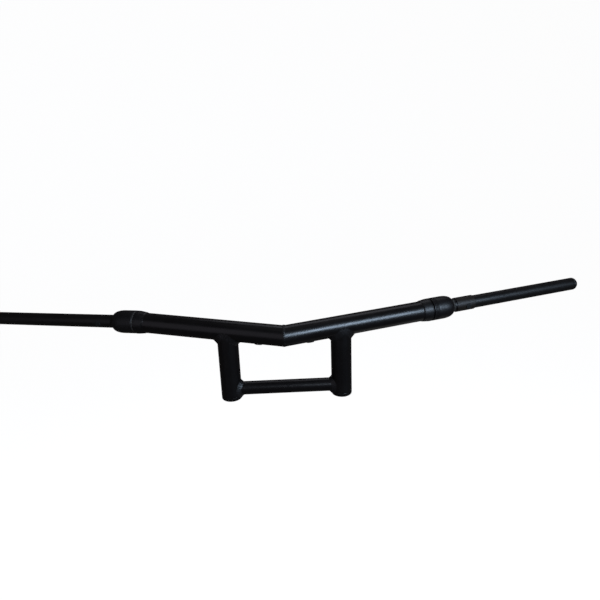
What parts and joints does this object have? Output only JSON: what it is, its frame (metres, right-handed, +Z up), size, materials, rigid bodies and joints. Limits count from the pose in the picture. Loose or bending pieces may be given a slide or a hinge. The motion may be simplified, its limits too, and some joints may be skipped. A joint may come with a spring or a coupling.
{
  "type": "motorcycle handlebar",
  "caption": "Welded steel motorcycle handlebar: two fat tubes in a shallow V on twin risers with a cross brace, stepped down through domed collars to thinner control tubes.",
  "frame": {"origin": "midway between the two riser feet, on the plane that the feet stand on", "axes": "+X towards the right end as seen from the front of the motorcycle, +Z up along the risers, -Y towards the front of the motorcycle; the ends sweep back to +Y"},
  "size_m": [1.0793, 0.179, 0.1495],
  "materials": {
    "satin_black_coat": "satin black powder coat over steel tube",
    "weld_bead_coat": "satin black powder coat over rippled weld metal",
    "black_plastic_plug": "moulded black nylon, fine matt grain",
    "black_rubber_grommet": "moulded black rubber, dull"
  },
  "bodies": {
    "root": {"centre_weld": "weld_bead_coat", "brace_tube": "satin_black_coat", "main_tube_left": "satin_black_coat", "main_grommet_left": "black_rubber_grommet", "collar_skirt_left": "satin_black_coat", "skirt_weld_left": "weld_bead_coat", "riser_tube_left": "satin_black_coat", "riser_weld_left": "weld_bead_coat", "riser_bung_left": "satin_black_coat", "brace_weld_left": "weld_bead_coat", "collar_left": "satin_black_coat", "control_tube_left": "satin_black_coat", "control_weld_left": "weld_bead_coat", "control_grommet_left": "black_rubber_grommet", "end_plug_left": "black_plastic_plug", "main_tube_right": "satin_black_coat", "main_grommet_right": "black_rubber_grommet", "collar_skirt_right": "satin_black_coat", "skirt_weld_right": "weld_bead_coat", "riser_tube_right": "satin_black_coat", "riser_weld_right": "weld_bead_coat", "riser_bung_right": "satin_black_coat", "brace_weld_right": "weld_bead_coat", "collar_right": "satin_black_coat", "control_tube_right": "satin_black_coat", "control_weld_right": "weld_bead_coat", "control_grommet_right": "black_rubber_grommet", "end_plug_right": "black_plastic_plug", "control_sleeve_right": "satin_black_coat"}
  },
  "joints": []
}
